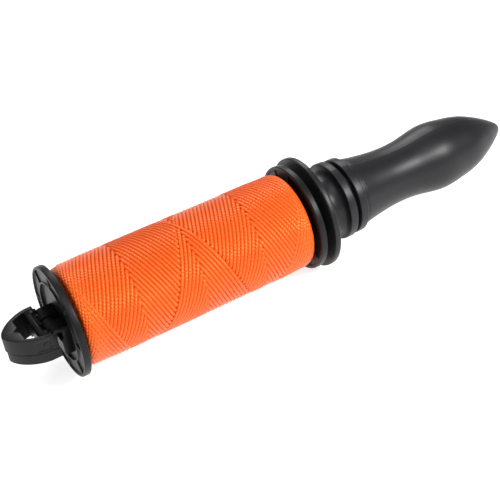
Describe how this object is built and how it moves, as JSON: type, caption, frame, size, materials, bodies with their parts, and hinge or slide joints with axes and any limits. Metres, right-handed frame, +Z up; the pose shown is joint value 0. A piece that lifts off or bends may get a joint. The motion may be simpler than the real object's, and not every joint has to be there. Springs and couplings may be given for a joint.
{
  "type": "chalk line reel",
  "caption": "Hand reel for braided line: a swelling grip and ringed neck, a free-turning flanged spool of cross-wound line, and a folding D-shaped end clip.",
  "frame": {"origin": "under the middle of the reel's length, on the plane it lies on (the guard's rim touches it)", "axes": "+X along the reel's axis towards the grip's tip, +Y along the clip's hinge, +Z up"},
  "size_m": [0.2338, 0.047, 0.0468],
  "materials": {
    "handle_plastic": "satin moulded black, fine grain",
    "spool_plastic": "satin moulded black",
    "clip_plastic": "satin moulded black, edges slightly paler",
    "braided_line": "fluorescent orange braided nylon",
    "steel": "turned, zinc plated",
    "brass": "turned",
    "natural_plastic": "unpigmented acetal"
  },
  "bodies": {
    "handle": {"grip": "handle_plastic", "grip_insert": "brass", "guard_neck": "handle_plastic", "spindle": "steel", "rear_washer": "natural_plastic", "front_washer": "steel", "retaining_screw": "steel"},
    "spool": {"spool_core": "spool_plastic", "rear_bush": "natural_plastic", "front_bush": "natural_plastic", "end_flange": "spool_plastic", "line_former": "natural_plastic", "line_pack": "braided_line"},
    "clip": {"clip_jaw_left": "clip_plastic", "clip_jaw_right": "clip_plastic", "clip_bridge": "clip_plastic", "clip_rivets": "clip_plastic", "hinge_pin": "clip_plastic"}
  },
  "joints": [
    {"name": "spool_spin", "type": "hinge", "parent": "handle", "child": "spool", "pos_m": [0, 0, 0.0235], "axis": [1, 0, 0], "continuous": true},
    {"name": "clip_fold", "type": "hinge", "parent": "spool", "child": "clip", "pos_m": [-0.0985, 0, 0.0235], "axis": [0, 1, 0], "range_deg": [-20, 44]}
  ]
}
